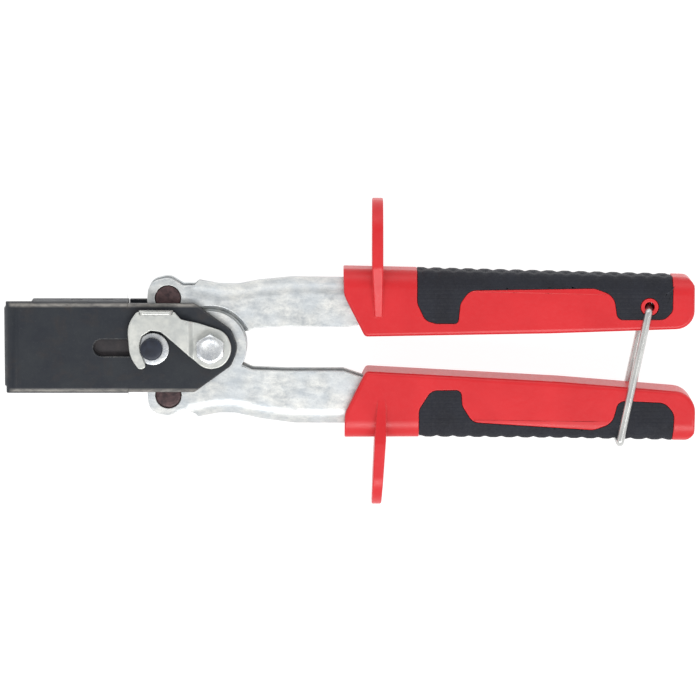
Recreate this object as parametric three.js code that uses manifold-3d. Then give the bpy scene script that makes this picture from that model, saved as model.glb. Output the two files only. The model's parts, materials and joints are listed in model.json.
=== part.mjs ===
// One-hand section-setting pliers (sold as a hand seamer), handles closed, latched and held by the bail.
//
// Units are millimetres. While a piece is shaped, X runs along the tool (nose at -X, grip ends at +X),
// Z is the pivot axis and the origin is the pivot axis at mid-thickness. The whole group is then moved so
// that its origin is the bottom centre of the tool as it lies, latch side up, on its guards and its die.

import * as THREE from 'three';
import { mergeVertices } from 'three/addons/utils/BufferGeometryUtils.js';
import Module from 'manifold-3d';

const wasm = await Module();
wasm.setup();

// ---------------------------------------------------------------- driving dimensions (mm)

const GAP = 0.3; // play left between pieces that touch
const NOSE_X = -78; // front of the head
const GRIP_END_X = 183; // far end of the lower grip
const UPPER_TIP_Y = 55.7; // tip of the upper finger guard
const LOWER_TIP_Y = -60.2; // tip of the lower finger guard
const BOTTOM_Z = -15; // what the tool rests on
const GUARD_HALF = 15; // half the width of a finger guard

const CHEEK_T = 2.5; // head sheet
const CHEEK_Z = [6.7, 9.2]; // upper cheek; the lower one mirrors it
const HEAD_HALF = 17.4; // half the width over the bent sides
const REAR_HALF = 16.8; // half the width of the flat rear plate
const SIDE_BACK_X = -31; // where the bent sides end
const SIDE_FRONT_X = -67.6; // where they start, behind the corner notch
const SIDE_BOTTOM_Z = -4;
const NOSE_BOTTOM_Z = -6;
const NOSE_BEND = 6; // outer radius of the bent nose
const SIDE_BEND = 2.5; // outer radius of the bent sides
const SLOT = { x0: -44.1, x1: -16.2, half: 3.2 };

const SLIDER_PIN_X = -22; // rest place of the slider pin
const SLIDER_PIN_R = 2.9;
const PIN_NECK_R = 1.5; // where the latch hooks it
const SLIDER_Z = [4.4, 6.4]; // upper tine of the slider fork
const SLIDER_HALF = 6; // half the slider's width
const SLIDER_FRONT_X = -60.6; // stops short of the bent nose when the tool is open
const SLIDER_BACK_X = -16.5;
const WEB_X = [-32.8, -28.8]; // joins the slider's two tines in front of the links
const SLIDER_WASHER = { z: [9.5, 10.6], r: 6.1, dx: 0.4, dy: -0.3 }; // the upper one sits off centre
const PIN_HEAD = { z: [12.8, 14.8], r: 4.2 };
const PIN_BOTTOM_Z = -12.3;
const RETAINING_RING = { z: [-12, -10.9], r: 4.8 };
const EAR = { x: -16, y: 18.4 }; // link pivot on each arm
const EAR_PIN_R = 4.8;
const LINK_R = { ear: 6.7, slider: 6.2 };
const LINK_EYE_R = 3.7; // oversize eye: the open joint of the closed linkage
const THICK_LINK = [-2, 2];
const SIDE_LINK = [2.3, 4.1];
const SPACER_R = 6.4;

const LOWER_CHEEK = { x0: -46, wallX1: -33, wallZ1: 2, wallT: 2 };
const NOTCH = { length: 2.2, depth: 3.2 }; // at the head's front corners
const SIDE_RIVET = { x: -39, z: -1, r: 1.8, in: 11.9 };
const DIE = { x0: -55, x1: -46.5, half: HEAD_HALF - CHEEK_T - GAP, z1: 4.1 };
const DIE_PIN = { x: -50.7, z: 0, r: 2 };
const PUNCH = { z: -10, r: 2.2, x0: -60, x1: -50.5 };
const JAW = { x0: -61.5, x1: -56, half: 11, z0: -14.5, z1: 4.1 };
const JAW_RIVETS_Y = { upper: 3.6, lower: -3.6 };
const JAW_RIVET_R = 1.5;

const PIVOT_BOLT_R = 3;
const SLEEVE_R = 5;
const HEX_R = 5 / Math.cos(Math.PI / 6); // 10 mm across flats
const BOLT_HEAD_Z = [11.4, 15];
const BOLT_END_Z = -14.8;
const NUT_Z = [-14.4, -10.9];
const PIVOT_WASHER = { z: [-10.6, -9.5], r: 6.5 };
const LATCH_LOW = [9.5, 11.1]; // the latch round the bolt
const LATCH_HIGH = [10.9, 12.5]; // the latch over the slider washer
const LATCH_STEP_X = -6.2; // clear of the bolt's corners at every angle
const LATCH_STEP_RUN = 1.6;
const LATCH_TAB = { x0: -26.6, x1: -13.9, y0: 13.1, y1: 14.7, z1: 17.5 };
const UPPER_BOSS_R = 13.2;
const LOWER_BOSS_R = 13.6;
const RECESS_R = 14.3; // clears the lower arm's boss
const SHEET_T = 2; // pressed arms
const ARM_HALF = 6.4; // half the width of each channel arm
const INNER_HALF = 4.2; // half the width of the upper arm inside the lower one
const ARM_ROUND = { across: 6.4, up: 5 }; // the bend between web and flanges
const HOLLOW_ROUND = { across: 3.6, up: 3 };
const SPRING = { coilR: 6.6, wireR: 0.7, rise: 1.2, fromDegrees: 121, toDegrees: 598 };

const GRIP_HALF = 10.5; // half the grip thickness
const GRIP_ROUND = 1.4;
const GRIP_OUTER_ROUND = { across: 7, up: 5 }; // the fuller rounding along the outer side
const CORE_HALF = 8.2; // red core under the rubber
const CORE_ROUND = 0.9;
const CORE_CORNER = 1.2; // a rounded corner of the core is never tighter than this
const INLAY_DEPTH = 2.3;

const BAIL_PIVOT = [165.3, 15.6];
const BAIL_FOOT = [154.1, -37.4];
const BAIL_R = 1.5;
const BAIL_LEG_Z = GRIP_HALF + GAP + BAIL_R;
const BAIL_HOLE_R = 1.85;
const BAIL_BOSS_R = 3.6; // red boss that shows through the rubber
const BAIL_END_Z = 5; // how near the middle the wire's ends come
const BAIL_BEND = 3.2; // radius of the wire's bends

const FAR = 20; // cutters reach this far, well past every piece they cut

// ---------------------------------------------------------------- materials

function finish(color, roughness, metalness) {
  return new THREE.MeshStandardMaterial({ color, roughness, metalness });
}

const BLACK_STEEL = finish(0x3c4046, 0.45, 0.8);
const GALVANISED = finish(0xc3c8ca, 0.45, 0.85);
const ZINC = finish(0xd2d6da, 0.3, 0.9);
const TOOL_STEEL = finish(0x6b6a69, 0.4, 0.9);
const BROWN_STEEL = finish(0x4a3534, 0.6, 0.6);
const SPRING_STEEL = finish(0xb9bcbe, 0.25, 0.95);
const RED_PLASTIC = finish(0xe2262f, 0.4, 0);
const RUBBER = finish(0x2b2e38, 0.8, 0);

// ---------------------------------------------------------------- shape helpers

// A closed outline from [x, y, r] corners; r rounds that corner, and side = -1 mirrors it across the X axis.
function outline(corners, side = 1) {
  const at = corners.map(([x, y]) => new THREE.Vector2(x, side * y));
  const shape = new THREE.Shape();
  at.forEach((corner, i) => {
    const before = at[(i + at.length - 1) % at.length];
    const after = at[(i + 1) % at.length];
    const back = before.clone().sub(corner).normalize();
    const on = after.clone().sub(corner).normalize();
    const radius = corners[i][2] || 0;
    const reach = radius / Math.tan(Math.acos(back.dot(on)) / 2);
    const start = corner.clone().addScaledVector(back, reach);
    const end = corner.clone().addScaledVector(on, reach);
    if (i === 0) shape.moveTo(start.x, start.y);
    else shape.lineTo(start.x, start.y);
    if (radius) shape.quadraticCurveTo(corner.x, corner.y, end.x, end.y);
  });
  shape.closePath();
  return shape;
}

// Corners moved outwards by a distance, or inwards by a negative one, with their rounding kept concentric.
function offset(corners, distance) {
  const area = corners.reduce((sum, [x, y], i) => {
    const [nextX, nextY] = corners[(i + 1) % corners.length];
    return sum + x * nextY - nextX * y;
  }, 0);
  const direction = (from, to) => new THREE.Vector2(to[0] - from[0], to[1] - from[1]).normalize();
  return corners.map((corner, i) => {
    const u = direction(corners[(i + corners.length - 1) % corners.length], corner);
    const v = direction(corner, corners[(i + 1) % corners.length]);
    const shift = (Math.sign(area) * distance) / (1 + u.dot(v));
    const convex = Math.sign(u.cross(v) * area) || 1;
    const radius = corner[2] ? Math.max(corner[2] + convex * distance, 0.2) : 0;
    return [corner[0] + shift * (u.y + v.y), corner[1] - shift * (u.x + v.x), radius];
  });
}

// The outline around two circles, as of a link or a lever.
function strap(x0, y0, r0, x1, y1, r1) {
  const along = Math.atan2(y1 - y0, x1 - x0);
  const open = Math.acos((r0 - r1) / Math.hypot(x1 - x0, y1 - y0));
  const shape = new THREE.Shape();
  shape.absarc(x0, y0, r0, along + open, along - open + 2 * Math.PI, false);
  shape.absarc(x1, y1, r1, along - open, along + open, false);
  shape.closePath();
  return shape;
}

function extrude(shape, depth, options = {}) {
  return new THREE.ExtrudeGeometry(shape, { depth, bevelEnabled: false, curveSegments: 4, ...options });
}

// A flat plate of a plan outline between two heights.
const plate = (shape, z0, z1, options) => extrude(shape, z1 - z0, options).translate(0, 0, z0);

// A block of a plan outline with its upper and lower edges rounded.
function pillow(shape, half, { across, up }, bevelSegments = 3) {
  const options = {
    bevelEnabled: true, bevelThickness: up, bevelSize: across, bevelOffset: -across, bevelSegments,
  };
  return extrude(shape, 2 * (half - up), options).translate(0, 0, up - half);
}

// A bar along X of an outline in (y, z), and a bar along Y of an outline in (x, z).
const AXES_X = new THREE.Matrix4().set(0, 0, 1, 0, 1, 0, 0, 0, 0, 1, 0, 0, 0, 0, 0, 1);
const AXES_Y = new THREE.Matrix4().set(1, 0, 0, 0, 0, 0, -1, 0, 0, 1, 0, 0, 0, 0, 0, 1);
const barX = (shape, x0, x1) => extrude(shape, x1 - x0).applyMatrix4(AXES_X).translate(x0, 0, 0);
const barY = (shape, y0, y1) => extrude(shape, y1 - y0).applyMatrix4(AXES_Y).translate(0, y1, 0);

function block(x0, x1, y0, y1, z0, z1) {
  return new THREE.BoxGeometry(x1 - x0, y1 - y0, z1 - z0)
    .translate((x0 + x1) / 2, (y0 + y1) / 2, (z0 + z1) / 2);
}

function rod(x, y, z0, z1, r, segments = 24) {
  return new THREE.CylinderGeometry(r, r, z1 - z0, segments)
    .rotateX(Math.PI / 2)
    .translate(x, y, (z0 + z1) / 2);
}

function rodX(y, z, x0, x1, r) {
  return new THREE.CylinderGeometry(r, r, x1 - x0, 24)
    .rotateZ(Math.PI / 2)
    .translate((x0 + x1) / 2, y, z);
}

function rodY(x, z, y0, y1, r) {
  return new THREE.CylinderGeometry(r, r, y1 - y0, 24).translate(x, (y0 + y1) / 2, z);
}

// A solid of revolution about the vertical through (x, y), from [radius, z] pairs.
function turned(x, y, profile, segments = 24) {
  const points = profile.map(([r, z]) => new THREE.Vector2(r, z));
  return new THREE.LatheGeometry(points, segments).rotateX(Math.PI / 2).translate(x, y, 0);
}

const ring = (x, y, z0, z1, outer, inner) =>
  turned(x, y, [[inner, z0], [outer, z0], [outer, z1], [inner, z1], [inner, z0]]);

// A round wire along a curve.
const wire = (curve, r, steps) =>
  extrude(new THREE.Shape().absarc(0, 0, r, 0, 2 * Math.PI), 0, { extrudePath: curve, steps });

// ---------------------------------------------------------------- booleans

function solid(geometry) {
  if (geometry instanceof wasm.Manifold) return geometry;
  const bare = geometry.clone();
  bare.deleteAttribute('normal');
  bare.deleteAttribute('uv');
  const merged = mergeVertices(bare, 1e-6);
  return new wasm.Manifold(new wasm.Mesh({
    numProp: 3, vertProperties: merged.attributes.position.array, triVerts: merged.index.array,
  }));
}

const join = (first, ...rest) => rest.reduce((whole, piece) => whole.add(solid(piece)), solid(first));
const cut = (first, ...rest) => rest.reduce((whole, piece) => whole.subtract(solid(piece)), solid(first));
const common = (first, other) => solid(first).intersect(solid(other));

function geometryOf(shape) {
  if (!(shape instanceof wasm.Manifold)) return shape;
  const { vertProperties, triVerts } = shape.getMesh();
  const geometry = new THREE.BufferGeometry();
  geometry.setAttribute('position', new THREE.BufferAttribute(vertProperties, 3));
  geometry.setIndex(new THREE.BufferAttribute(triVerts, 1));
  return geometry;
}

const tool = new THREE.Group();

function add(name, shape, material) {
  const geometry = geometryOf(shape);
  geometry.computeVertexNormals();
  const mesh = new THREE.Mesh(geometry, material);
  mesh.name = name;
  tool.add(mesh);
}

// ---------------------------------------------------------------- head

// The flat rear of a cheek: straight sides, then a taper to a round end about the pivot.
const rearPlan = (frontX, frontHalf) => outline([
  [frontX, -frontHalf], [SIDE_BACK_X, -frontHalf], [SIDE_BACK_X, -REAR_HALF], [-6, -REAR_HALF, 2.5],
  [7.8, -6.8, 4], [10.6, 0, 7], [7.8, 6.8, 4], [-6, REAR_HALF, 2.5], [SIDE_BACK_X, REAR_HALF],
  [SIDE_BACK_X, frontHalf], [frontX, frontHalf],
]);

function slotCut() {
  const { x0, x1, half } = SLOT;
  return plate(strap(x0 + half, 0, half, x1 - half, 0, half), -FAR, FAR);
}

const sorted = (...values) => values.sort((a, b) => a - b);
const crossHoles = () => [
  rodY(SIDE_RIVET.x, SIDE_RIVET.z, -FAR, FAR, SIDE_RIVET.r + GAP),
  rodY(DIE_PIN.x, DIE_PIN.z, -FAR, FAR, DIE_PIN.r + GAP),
];

function upperCheek() {
  const bent = (inset, back) => {
    const half = HEAD_HALF - inset;
    const top = CHEEK_Z[1] - inset;
    const front = NOSE_X + inset;
    const low = NOSE_BOTTOM_Z - (inset ? 1 : 0); // the inside is cut right through the open bottom
    const sideBend = SIDE_BEND - inset;
    const across = outline([[-half, low], [half, low], [half, top, sideBend], [-half, top, sideBend]]);
    const along = outline([[front, low], [back, low], [back, top], [front, top, NOSE_BEND - inset]]);
    return common(barX(across, NOSE_X - 1, back), barY(along, -HEAD_HALF - 1, HEAD_HALF + 1));
  };
  const shell = cut(bent(0, SIDE_BACK_X), bent(CHEEK_T, SIDE_BACK_X + 1));
  const body = join(shell, plate(rearPlan(SIDE_BACK_X - 1, REAR_HALF - 2), ...CHEEK_Z));
  const notches = [-1, 1].map((side) => {
    const y = sorted(side * (HEAD_HALF - CHEEK_T), side * (HEAD_HALF + 1));
    const x0 = SIDE_FRONT_X - NOTCH.length;
    return block(x0, SIDE_FRONT_X, ...y, NOSE_BOTTOM_Z - 1, CHEEK_Z[1] - NOTCH.depth);
  });
  const trim = block(SIDE_FRONT_X - 0.1, SIDE_BACK_X + 1, -FAR, FAR, NOSE_BOTTOM_Z - 1, SIDE_BOTTOM_Z);
  const holes = [slotCut(), rod(0, 0, 0, FAR, PIVOT_BOLT_R + GAP), ...crossHoles()];
  return cut(body, ...notches, trim, ...holes);
}

function lowerCheek() {
  const { x0, wallX1, wallZ1, wallT } = LOWER_CHEEK;
  const outer = HEAD_HALF - CHEEK_T - GAP - 0.4;
  const floor = plate(rearPlan(x0, outer), -CHEEK_Z[1], -CHEEK_Z[0]);
  const walls = [-1, 1].map((side) => {
    const y = sorted(side * outer, side * (outer - wallT));
    return block(x0, wallX1, ...y, -CHEEK_Z[1] + 0.1, wallZ1);
  });
  return cut(join(floor, ...walls), slotCut(), rod(0, 0, -FAR, 0, PIVOT_BOLT_R + GAP), crossHoles()[0]);
}

function dieBlock() {
  const { x0, x1, half, z1 } = DIE;
  const section = outline([[x0, BOTTOM_Z, 1], [x1, BOTTOM_Z, 3], [x1, z1, 1], [x0, z1]]);
  const guide = rodX(0, PUNCH.z, x0 - 1, x1 + 1, PUNCH.r + 0.4);
  return cut(barY(section, -half, half), crossHoles()[1], guide);
}

const sideRivet = (y0, y1) => rodY(SIDE_RIVET.x, SIDE_RIVET.z, y0, y1, SIDE_RIVET.r);

add('upper_cheek', upperCheek(), BLACK_STEEL);
add('lower_cheek', lowerCheek(), BLACK_STEEL);
add('die_block', dieBlock(), TOOL_STEEL);
add('die_pin', rodY(DIE_PIN.x, DIE_PIN.z, -HEAD_HALF, HEAD_HALF, DIE_PIN.r), BLACK_STEEL);
add('side_rivet_upper', sideRivet(SIDE_RIVET.in, HEAD_HALF), BLACK_STEEL);
add('side_rivet_lower', sideRivet(-HEAD_HALF, -SIDE_RIVET.in), BLACK_STEEL);

// ---------------------------------------------------------------- main pivot

// Six-sided, with flats facing the nose and the grips.
const hexagon = (z0, z1) => rod(0, 0, z0, z1, HEX_R, 6);

const shank = rod(0, 0, BOLT_END_Z, BOLT_HEAD_Z[0] + 1, PIVOT_BOLT_R);
add('pivot_bolt', join(hexagon(...BOLT_HEAD_Z), shank), ZINC);
add('pivot_nut', cut(hexagon(...NUT_Z), rod(0, 0, -FAR, 0, PIVOT_BOLT_R + GAP)), ZINC);
add('pivot_washer', ring(0, 0, ...PIVOT_WASHER.z, PIVOT_WASHER.r, PIVOT_BOLT_R + GAP), ZINC);
add('pivot_sleeve', ring(0, 0, -SLIDER_Z[1], SLIDER_Z[1], SLEEVE_R, PIVOT_BOLT_R + GAP), TOOL_STEEL);

// ---------------------------------------------------------------- slider

const jawRivet = (y, z0, z1, r) => rod((JAW.x0 + JAW.x1) / 2, y, z0, z1, r, 20);
const rivetHoles = () => Object.values(JAW_RIVETS_Y)
  .map((y) => jawRivet(y, -GAP - 0.1, SLIDER_Z[1] + 0.2, JAW_RIVET_R + GAP));

function sliderBar() {
  const tine = (x0) => outline([
    [x0, -SLIDER_HALF, 1], [SLIDER_BACK_X, -SLIDER_HALF, 5], [SLIDER_BACK_X, SLIDER_HALF, 5],
    [x0, SLIDER_HALF, 1],
  ]);
  const upper = plate(tine(SLIDER_FRONT_X), ...SLIDER_Z);
  const lower = plate(tine(WEB_X[0]), -SLIDER_Z[1], -SLIDER_Z[0]);
  const webHalf = SLIDER_HALF - 0.5;
  const webTop = SLIDER_Z[1] - 0.5;
  const web = block(...WEB_X, -webHalf, webHalf, -webTop, webTop);
  const bore = rod(SLIDER_PIN_X, 0, -FAR, FAR, SLIDER_PIN_R + GAP);
  return cut(join(upper, web, lower), bore, ...rivetHoles());
}

function movingJaw() {
  const { x0, x1, half, z0, z1 } = JAW;
  const section = outline([[x0, z0, 2], [x1, z0, 1], [x1, z1], [x0, z1]]);
  const socket = rodX(0, PUNCH.z, PUNCH.x0 - GAP, x1 + 1, PUNCH.r + GAP);
  return cut(barY(section, -half, half), ...rivetHoles(), socket);
}

const sliderPin = turned(SLIDER_PIN_X, 0, [
  [0, PIN_BOTTOM_Z], [SLIDER_PIN_R - 0.4, PIN_BOTTOM_Z], [SLIDER_PIN_R, PIN_BOTTOM_Z + 0.4],
  [SLIDER_PIN_R, CHEEK_Z[1]], [PIN_NECK_R, CHEEK_Z[1]], [PIN_NECK_R, PIN_HEAD.z[0]],
  [PIN_HEAD.r, PIN_HEAD.z[0]], [PIN_HEAD.r, PIN_HEAD.z[1] - 0.5], [PIN_HEAD.r - 0.6, PIN_HEAD.z[1]],
  [0, PIN_HEAD.z[1]],
]);

const below = ([z0, z1]) => [-z1, -z0];

function sliderWasher(dx, dy, z, bore) {
  return ring(SLIDER_PIN_X + dx, dy, ...z, SLIDER_WASHER.r, bore);
}

add('slider_bar', sliderBar(), BROWN_STEEL);
add('moving_jaw', movingJaw(), TOOL_STEEL);
for (const [name, y] of Object.entries(JAW_RIVETS_Y)) {
  add(`jaw_rivet_${name}`, jawRivet(y, 0, SLIDER_Z[1], JAW_RIVET_R), TOOL_STEEL);
}
add('punch', rodX(0, PUNCH.z, PUNCH.x0, PUNCH.x1, PUNCH.r), TOOL_STEEL);
add('slider_pin', sliderPin, BLACK_STEEL);
const { z: washerZ, dx: washerX, dy: washerY } = SLIDER_WASHER;
add('slider_washer_top', sliderWasher(washerX, washerY, washerZ, PIN_NECK_R + 0.8), ZINC);
add('slider_washer_bottom', sliderWasher(0, 0, below(washerZ), SLIDER_PIN_R + GAP), ZINC);
const retainingRing = ring(SLIDER_PIN_X, 0, ...RETAINING_RING.z, RETAINING_RING.r, SLIDER_PIN_R + GAP);
add('pin_retaining_ring', retainingRing, SPRING_STEEL);

// ---------------------------------------------------------------- latch lever

const LATCH_PLAN = [
  [-26.6, -8.2, 1.6], [-24.2, -7.0, 0.9], [-25.1, -3.7], [-26.1, -1.5], [-26.4, 1.3], [-25.7, 4.6, 1.5],
  [-22.4, 6.9, 2], [-18.6, 6.3, 2], [-14.2, 2.7, 3], [-1.7, -8.4, 7], [5.3, -6.9, 7], [8.6, -0.5, 7],
  [5.9, 6.2, 7], [-4.3, 9.5, 4], [-10.9, 11.1, 1.5], [-13.4, 13.9, 1], [-27.6, 13.9, 1.5],
  [-31.2, 9, 10], [-30.3, -3.2, 12],
];

function latchLever() {
  const flat = (z) => plate(outline(LATCH_PLAN), ...z);
  const low = common(flat(LATCH_LOW), block(LATCH_STEP_X - LATCH_STEP_RUN, FAR, -FAR, FAR, 0, FAR));
  const high = common(flat(LATCH_HIGH), block(-2 * FAR, LATCH_STEP_X, -FAR, FAR, 0, FAR));
  const tab = outline([
    [LATCH_TAB.x0, LATCH_HIGH[0] + 0.4], [LATCH_TAB.x1, LATCH_HIGH[0] + 0.4],
    [LATCH_TAB.x1, LATCH_TAB.z1, 2.5], [LATCH_TAB.x0, LATCH_TAB.z1, 2.5],
  ]);
  const body = join(low, high, barY(tab, LATCH_TAB.y0, LATCH_TAB.y1));
  return cut(body, rod(0, 0, 0, FAR, PIVOT_BOLT_R + GAP));
}

add('latch_lever', latchLever(), GALVANISED);

// ---------------------------------------------------------------- arms

// Each arm is a pressed channel, open towards the tool's axis. side is +1 for the upper arm. outer and inner
// are its edges from the pivot outwards, as distances from the axis; the web follows the outer edge only.
const ARMS = {
  upper: {
    side: 1,
    outer: [[-4.3, 24.9], [3, 23.6, 6], [10.3, 23.4, 10], [18, 24.9, 10], [30.4, 26.1, 15], [54, 25.8],
      [62, 23.6], [150, 22.3]],
    inner: [[12, 5.3, 2], [16.7, 7.2, 4], [28.5, 7.9], [52, 7.6], [66, 10.3], [150, 11.8]],
  },
  lower: {
    side: -1,
    outer: [[-4.8, 27.1], [3, 25.6, 6], [9, 25.6, 10], [19, 27.8, 10], [32, 29.5, 15], [54, 29.5], [62, 28.4],
      [150, 30]],
    inner: [[11.6, 6.8, 2], [15.6, 8.7, 4], [28, 9.2], [50, 9.2], [62, 13.2], [150, 19.4]],
  },
};

function armPlan({ side, outer, inner }) {
  const neck = [[-6, outer[0][1] - 1.6, 1], [-10.4, 23.2, 2]];
  const ear = [[-15.6, 26.4, 5], [-23.2, 24.6, 5], [-24, 16, 5], [-15, 5.6]];
  const boss = [[-13.2, 3], [-13.2, -1]];
  return outline([...outer.toReversed(), ...neck, ...ear, ...boss, [0, -4], ...inner], side);
}

// What is hollow between the flanges: everything but the web along the outer edge.
function channel({ side, outer }) {
  const web = outer.map(([x, y, r]) => [x, y - SHEET_T, r]);
  const [start] = web;
  const end = web.at(-1);
  const plan = [[end[0] + FAR, end[1]], ...web.toReversed(), [start[0], 2 * FAR], [-2 * FAR, 2 * FAR],
    [-2 * FAR, -2 * FAR], [end[0] + FAR, -2 * FAR]];
  return pillow(outline(plan, side), ARM_HALF - SHEET_T, HOLLOW_ROUND, 2);
}

// A block that reaches far inwards and past both ends of an outer edge, so that only that edge is rounded.
function roundedOutside(edge, side, half, round) {
  const [first] = edge;
  const last = edge.at(-1);
  const nearX = first[0] - 2 * FAR;
  const farX = last[0] + FAR;
  const plan = [[nearX, -3 * FAR], [nearX, first[1]], ...edge, [farX, last[1]], [farX, -3 * FAR]];
  return pillow(outline(plan, side), half, round, 4);
}

function armBlank(arm, bossR) {
  const { side, outer } = arm;
  const runOut = [outer[0][0] - 9.7, outer[0][1] + 15.1]; // lets the bend fade out towards the ear
  const rounded = roundedOutside([runOut, ...outer], side, ARM_HALF, ARM_ROUND);
  const blank = common(plate(armPlan(arm), -ARM_HALF, ARM_HALF), rounded);
  return join(blank, rod(0, 0, -ARM_HALF, ARM_HALF, bossR, 48));
}

const earBore = (side, r) => rod(EAR.x, side * EAR.y, -FAR, FAR, r);
const pivotBore = () => rod(0, 0, -FAR, FAR, SLEEVE_R + GAP);
const bothWays = (z, r) => [z, below(z)].map((range) => rod(0, 0, ...range, r, 48));

function upperArm() {
  const arm = ARMS.upper;
  const hollow = cut(channel(arm), ...bothWays([INNER_HALF - SHEET_T, FAR], RECESS_R + SHEET_T));
  const recess = bothWays([INNER_HALF, FAR], RECESS_R);
  return cut(armBlank(arm, UPPER_BOSS_R), hollow, ...recess, earBore(1, EAR_PIN_R + GAP), pivotBore());
}

function lowerArm() {
  const arm = ARMS.lower;
  const inside = ARM_HALF - SHEET_T;
  const boss = rod(0, 0, -inside, inside, LOWER_BOSS_R + 1, 48);
  return cut(armBlank(arm, LOWER_BOSS_R), channel(arm), boss, earBore(-1, EAR_PIN_R + GAP), pivotBore());
}

add('upper_arm', upperArm(), GALVANISED);
add('lower_arm', lowerArm(), GALVANISED);
add('upper_ear_pin', rod(EAR.x, EAR.y, -ARM_HALF, ARM_HALF, EAR_PIN_R), BROWN_STEEL);
add('lower_ear_pin', rod(EAR.x, -EAR.y, -ARM_HALF, ARM_HALF, EAR_PIN_R), BROWN_STEEL);

// ---------------------------------------------------------------- links

function link(side, z) {
  const plan = strap(EAR.x, side * EAR.y, LINK_R.ear, SLIDER_PIN_X, 0, LINK_R.slider);
  const body = plate(plan, ...z, { curveSegments: 7 });
  return cut(body, earBore(side, EAR_PIN_R + GAP), rod(SLIDER_PIN_X, 0, -FAR, FAR, LINK_EYE_R));
}

const spacer = (side, z) => ring(EAR.x, side * EAR.y, ...z, SPACER_R, EAR_PIN_R + GAP);

add('upper_link', link(1, THICK_LINK), TOOL_STEEL);
add('lower_link_top', link(-1, SIDE_LINK), TOOL_STEEL);
add('lower_link_bottom', link(-1, below(SIDE_LINK)), TOOL_STEEL);
add('upper_spacer_top', spacer(1, SIDE_LINK), ZINC);
add('upper_spacer_bottom', spacer(1, below(SIDE_LINK)), ZINC);
add('lower_spacer', spacer(-1, THICK_LINK), ZINC);

// ---------------------------------------------------------------- return spring

// A torsion spring round the sleeve, one leg against the web of each arm.
class SpringCentreline extends THREE.Curve {
  constructor() {
    super();
    this.turn = [SPRING.fromDegrees, SPRING.toDegrees].map(THREE.MathUtils.degToRad);
    this.ends = [[21, 21.6], [21, -24.6]];
  }

  getPoint(t, target = new THREE.Vector3()) {
    const legShare = 0.18;
    const [a0, a1] = this.turn;
    const s = THREE.MathUtils.clamp((t - legShare) / (1 - 2 * legShare), 0, 1);
    const angle = a0 + s * (a1 - a0);
    const z = SPRING.rise * (1 - 2 * s);
    target.set(SPRING.coilR * Math.cos(angle), SPRING.coilR * Math.sin(angle), z);
    const straight = t < legShare ? 1 - t / legShare : t > 1 - legShare ? (t - 1 + legShare) / legShare : 0;
    const [endX, endY] = this.ends[t < 0.5 ? 0 : 1];
    return target.lerp(new THREE.Vector3(endX, endY, z), straight);
  }
}

add('return_spring', wire(new SpringCentreline(), SPRING.wireR, 56), SPRING_STEEL);

// ---------------------------------------------------------------- grips

// Plans as distances from the tool's axis. The rubber fills the inlay outline. blade gives the guard's two
// flanks at its tip and its root. rib is where the guard ends on the grip's face: the upper one ends in a
// step, the lower one dies out.
const GRIPS = {
  upper: {
    side: 1,
    tip: UPPER_TIP_Y,
    blade: { tip: [60.9, 65.1], root: [60.9, 65.1] },
    rib: { y: 11.5, z: GRIP_HALF + 0.5, x: [61.8, 64.9] },
    plan: [[50.1, 29.8], [50.3, 20, 8], [58.2, 4.3, 1.8], [127.9, 5.5], [182.3, 7.3, 7], [182.3, 26.5, 4.5],
      [131.7, 27.8], [76.8, 29.2]],
    inlay: [[78, 40], [78, 17, 5], [81, 10.6, 4], [85, 9.4, 2], [93.2, 9.4, 1.5], [94, 17, 5], [97.5, 22, 5],
      [144.5, 22.7, 6], [152, 20, 6], [153.3, 10.8, 2.5], [171, 10.9, 4], [173.9, 14, 3], [173.9, 40]],
  },
  lower: {
    side: -1,
    tip: -LOWER_TIP_Y,
    blade: { tip: [60.7, 64.4], root: [61.9, 66.2] },
    rib: { y: 17.2, z: GRIP_HALF - 0.4, x: [63.2, 66.2] },
    plan: [[50.5, 34.3], [50.6, 25, 8], [58.6, 8.8, 1.8], [131.7, 12.8], [156, 14.8], [GRIP_END_X, 17, 8],
      [182.6, 35.6, 4.5], [131.7, 34.7], [78.7, 34.2]],
    inlay: [[78.7, 45], [78.7, 23.4, 5], [83.3, 16.2, 4], [94.4, 16, 2], [94.8, 22, 5], [98.8, 28.3, 5],
      [144.5, 31.3, 6], [151.6, 28.7, 6], [153.9, 20.1, 3], [171.3, 20.9, 5], [174.8, 25, 5], [173.6, 45]],
  },
};

function guard({ side, tip, blade, rib, plan }) {
  const root = plan[0][1];
  const half = [[rib.y, rib.z], [root + 1, GUARD_HALF, 6], [tip, GUARD_HALF, 12]];
  const mirrored = half.toReversed().map(([y, z, r]) => [y, -z, r]);
  const across = outline([...half, ...mirrored].map(([y, z, r]) => [side * y, z, r]));
  const along = outline([
    [blade.tip[0], tip, 1.2], [blade.tip[1], tip, 1.2], [blade.root[1], root], [rib.x[1], rib.y],
    [rib.x[0], rib.y], [blade.root[0], root],
  ], side);
  return common(barX(across, 55, 70), plate(along, -FAR, FAR));
}

function tangPocket({ side, outer, inner }) {
  const start = 40; // in front of the grips
  const grow = GAP + 0.1;
  const end = outer.at(-1)[0] + 1;
  const high = outer.slice(-3).map(([x, y]) => [x, y + grow]);
  const low = inner.slice(-3).map(([x, y]) => [x, y - grow]);
  high.at(-1)[0] = end;
  low.at(-1)[0] = end;
  const pocket = outline([[start, high[0][1]], ...high, ...low.toReversed(), [start, low[0][1]]], side);
  return plate(pocket, -ARM_HALF - GAP, ARM_HALF + GAP);
}

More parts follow.
